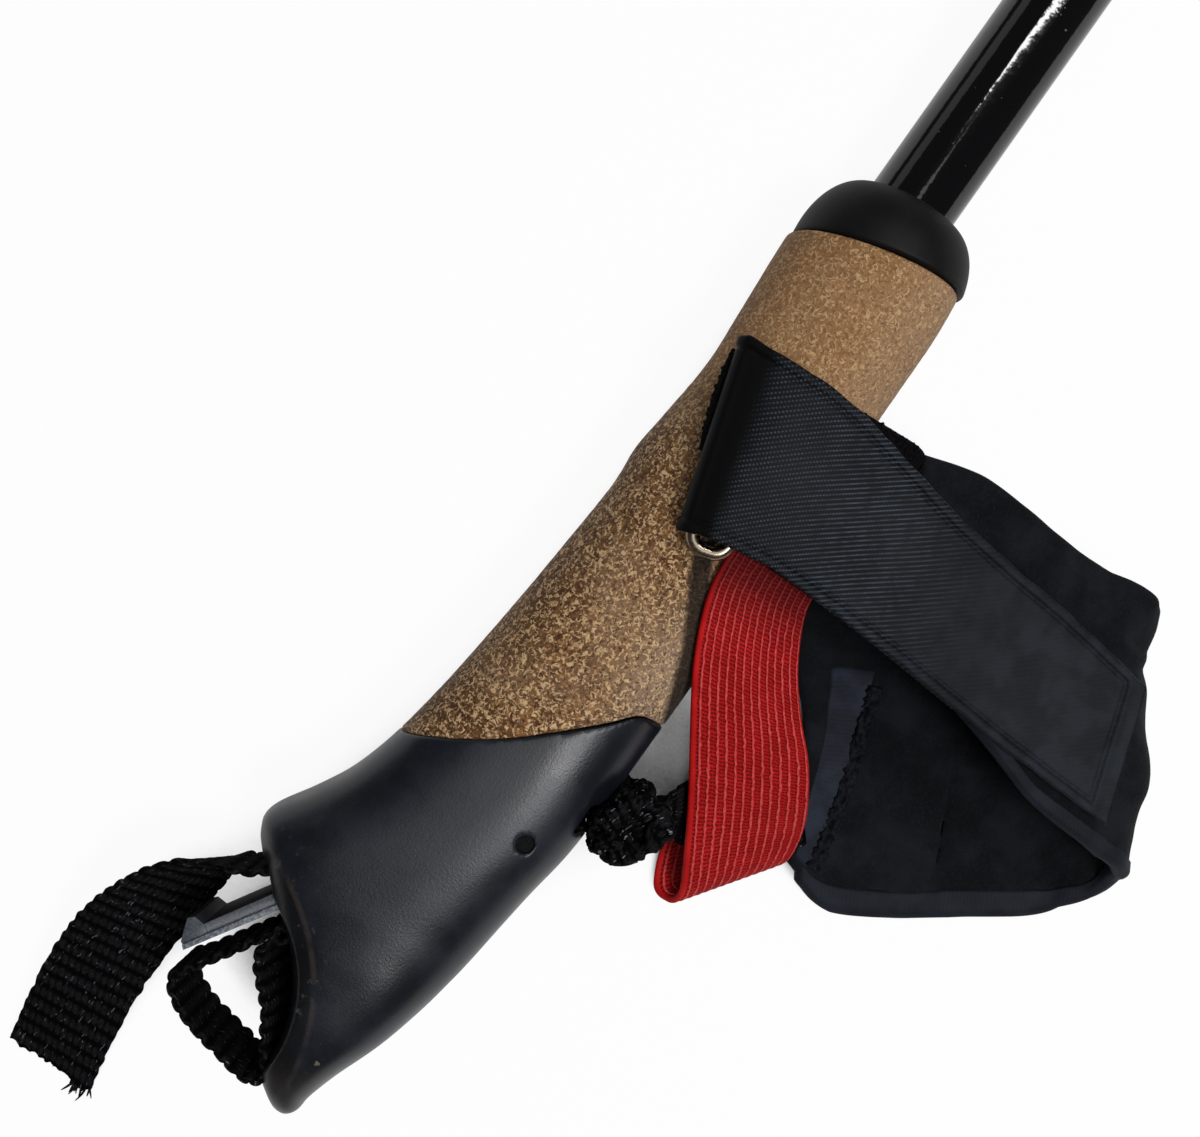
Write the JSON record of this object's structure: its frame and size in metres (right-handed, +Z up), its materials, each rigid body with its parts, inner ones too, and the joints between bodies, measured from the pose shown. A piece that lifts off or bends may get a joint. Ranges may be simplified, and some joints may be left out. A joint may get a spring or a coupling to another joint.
{
  "type": "nordic walking pole",
  "caption": "Walking pole with a tapered shaft, a cork grip, a plastic head holding a glove-like padded wrist strap with a red elastic thumb loop, and a rubber road pad on the tip.",
  "frame": {"origin": "on the floor under the middle of the object's outline, seen from above", "axes": "+X along the shaft from the grip towards the tip, +Z up, the strap lies on the -Y side of the grip; the pole lies on its side on its collar, its rubber pad and its strap"},
  "size_m": [1.1774, 0.1761, 0.0439],
  "materials": {
    "shaft_lacquer": "gloss black lacquer over a composite tube",
    "cork": "raw granulated cork, mottled tan and brown",
    "head_plastic": "fine-textured matt black",
    "wedge_plastic": "light grey, fine-textured",
    "webbing": "black ribbed polyester webbing",
    "band_twill": "black twill with a stitched edge",
    "padded_cloth": "black padded cloth with a soft nap",
    "edge_binding": "black woven binding",
    "hook_and_loop": "black hook and loop tape",
    "red_elastic": "red ribbed elastic",
    "ring_wire": "nickel-plated wire",
    "steel": "plain steel",
    "pad_rubber": "matt black moulded rubber"
  },
  "bodies": {
    "pole": {"shaft": "shaft_lacquer", "grip_core": "head_plastic", "cork_grip": "cork", "grip_collar": "head_plastic", "head_shell": "head_plastic", "strap_pin": "steel", "webbing_inner": "webbing", "webbing_loop": "webbing", "webbing_tail": "webbing", "tip_ferrule": "head_plastic", "carbide_tip": "steel"},
    "wedge": {"strap_wedge": "wedge_plastic"},
    "strap": {"strap_lead": "webbing", "cuff_panel": "padded_cloth", "cuff_binding_hand": "edge_binding", "cuff_binding_wrist": "edge_binding", "band_under": "band_twill", "loop_tape": "hook_and_loop", "ring_tab": "webbing", "elastic_loop": "red_elastic"},
    "ring": {"ring": "ring_wire"},
    "flap": {"band_flap": "band_twill", "hook_tape": "hook_and_loop"},
    "pad": {"rubber_pad": "pad_rubber", "pad_washer": "steel"}
  },
  "joints": [
    {"name": "wedge_slide", "type": "slide", "parent": "pole", "child": "wedge", "axis": [0.8499, -0.527, -0.0033], "range_m": [0, 0.019]},
    {"name": "strap_swing", "type": "hinge", "parent": "pole", "child": "strap", "pos_m": [-0.4765, 0.0084, 0.0181], "axis": [0, 0, -1], "range_deg": [0, 80]},
    {"name": "ring_rock", "type": "hinge", "parent": "strap", "child": "ring", "pos_m": [-0.40365, 0.02876, 0.0388], "axis": [-0.9563, -0.2924, 0], "range_deg": [0, 4]},
    {"name": "flap_open", "type": "hinge", "parent": "ring", "child": "flap", "pos_m": [-0.40575, 0.03564, 0.0388], "axis": [-0.9563, -0.2924, 0], "range_deg": [0, 100]},
    {"name": "pad_pull", "type": "slide", "parent": "pole", "child": "pad", "axis": [1, 0, -0.0039], "range_m": [0, 0.042]}
  ]
}
